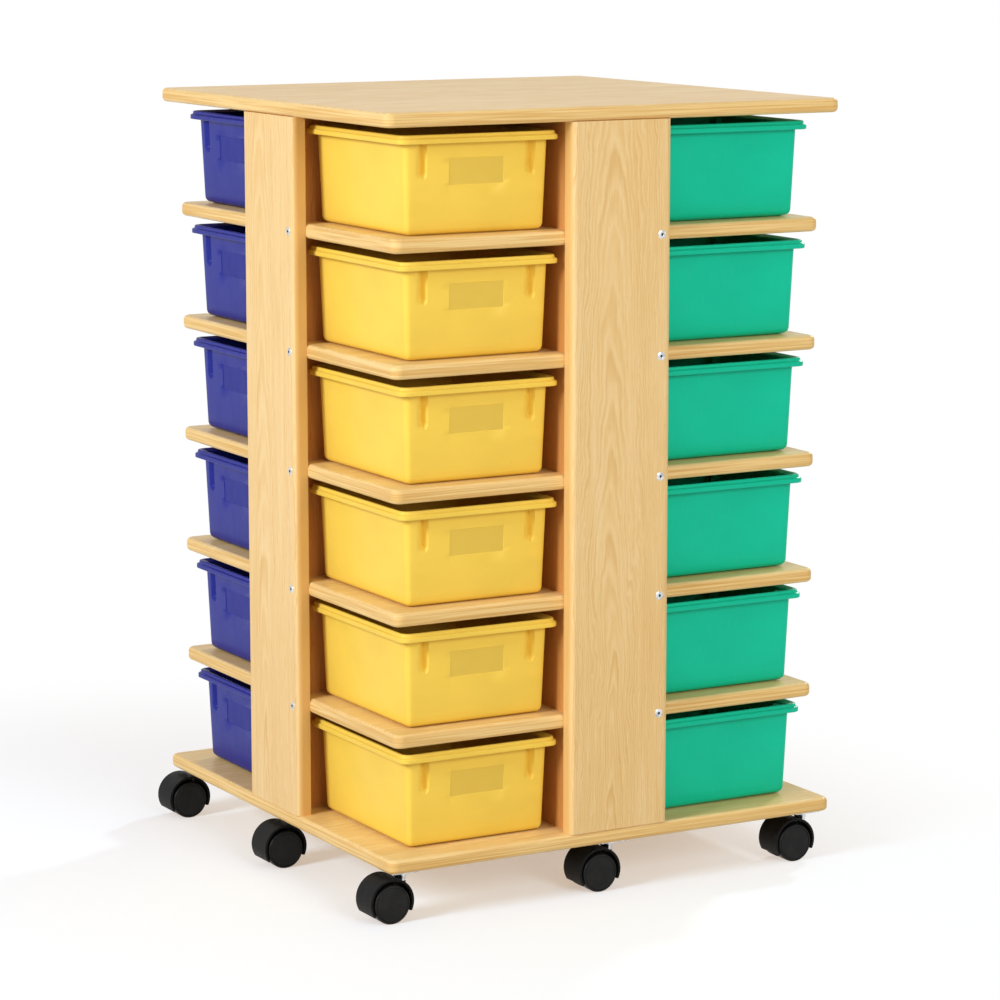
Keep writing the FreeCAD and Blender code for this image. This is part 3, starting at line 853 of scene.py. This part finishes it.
# ---------------------------------------------------------------- stage
def build_floor():
    """Pale floor that keeps the shadow; where it is seen it fades to the white backdrop."""
    bm = bmesh.new()
    bmesh.ops.create_circle(bm, cap_ends=True, segments=96, radius=STAGE_RADIUS)
    floor = placed("floor", mesh_from("floor", bm, ()))
    n = new_material("floor")
    seen = n.seen()
    matt = n.node("ShaderNodeBsdfDiffuse")
    n.link(n.mix(seen, FLOOR_GREY, FLOOR_COLOUR), matt.inputs["Color"])
    glow = n.node("ShaderNodeEmission")
    glow.inputs["Color"].default_value = FLOOR_GLOW
    n.link(seen, glow.inputs["Strength"])
    near = n.node("ShaderNodeAddShader")
    n.link(matt.outputs[0], near.inputs[0])
    n.link(glow.outputs[0], near.inputs[1])
    white = n.node("ShaderNodeEmission")
    white.inputs["Color"].default_value = WHITE
    place = n.split(n.place())
    aside, ahead = (n.less(place[i], FLOOR_FADE_CENTRE[i]) for i in (0, 1))
    both = n.node("ShaderNodeMixShader")
    n.link(n.times(n.span(n.length(aside, ahead), *FLOOR_FADE), seen), both.inputs[0])
    n.link(near.outputs[0], both.inputs[1])
    n.link(white.outputs[0], both.inputs[2])
    n.link(both.outputs[0], n.output.inputs["Surface"])
    floor.data.materials.append(n.owner)


def build_world():
    """White where it is seen or reflected, and a softer light for the rest."""
    world = bpy.data.worlds.new("studio")
    bpy.context.scene.world = world
    n = Nodes(world, "ShaderNodeOutputWorld")
    mixed = n.node("ShaderNodeMixShader")
    n.link(n.seen(), mixed.inputs[0])
    for place, colour, strength in ((1, AMBIENT_COLOUR, AMBIENT), (2, WHITE, 1.0)):
        light = n.node("ShaderNodeBackground")
        light.inputs["Color"].default_value = colour
        light.inputs["Strength"].default_value = strength
        n.link(light.outputs[0], mixed.inputs[place])
    n.link(mixed.outputs[0], n.output.inputs["Surface"])


def build_lamps():
    """Round lamps: a large key from the left, a larger one in front and a small one behind."""
    for name, place, aim, size, watts, colour in LAMPS:
        data = bpy.data.lights.new(name, "AREA")
        data.shape = "DISK"
        data.size = size
        data.energy = watts
        data.color = colour
        lamp = bpy.data.objects.new(name, data)
        bpy.context.scene.collection.objects.link(lamp)
        lamp.location = place
        lamp.rotation_mode = "QUATERNION"
        lamp.rotation_quaternion = (Vector(aim) - Vector(place)).to_track_quat("-Z", "Y")


def build_camera():
    """Long lens, low and to the left of the front, as in the product view."""
    azimuth, elevation = math.radians(CAMERA_AZIMUTH), math.radians(CAMERA_ELEVATION)
    back = Vector((
        math.sin(azimuth) * math.cos(elevation),
        -math.cos(azimuth) * math.cos(elevation),
        math.sin(elevation),
    ))
    data = bpy.data.cameras.new("camera")
    data.lens = CAMERA_LENS
    data.sensor_width = CAMERA_SENSOR
    camera = bpy.data.objects.new("camera", data)
    bpy.context.scene.collection.objects.link(camera)
    camera.location = CAMERA_PLACE
    camera.rotation_mode = "QUATERNION"
    camera.rotation_quaternion = (-back).to_track_quat("-Z", "Y")
    bpy.context.scene.camera = camera


# ---------------------------------------------------------------- everything
bpy.context.scene.view_settings.view_transform = "Standard"
build_camera()
build_world()
build_lamps()
build_floor()
paint_boards()
build_trays()
hood_plastic = black_plastic("hood_plastic", CASTER_BLACK, 0.42, 0.58, 0.1, 0.35)
wheel_plastic = black_plastic("wheel_plastic", WHEEL_BLACK, 0.3, 0.45, 0.18, 0.22)
zinc = zinc_material()
build_hoods(hood_plastic)
build_wheels(wheel_plastic, zinc)
build_plates(zinc)
build_screws((zinc, recess_material()))

bpy.context.view_layer.update()
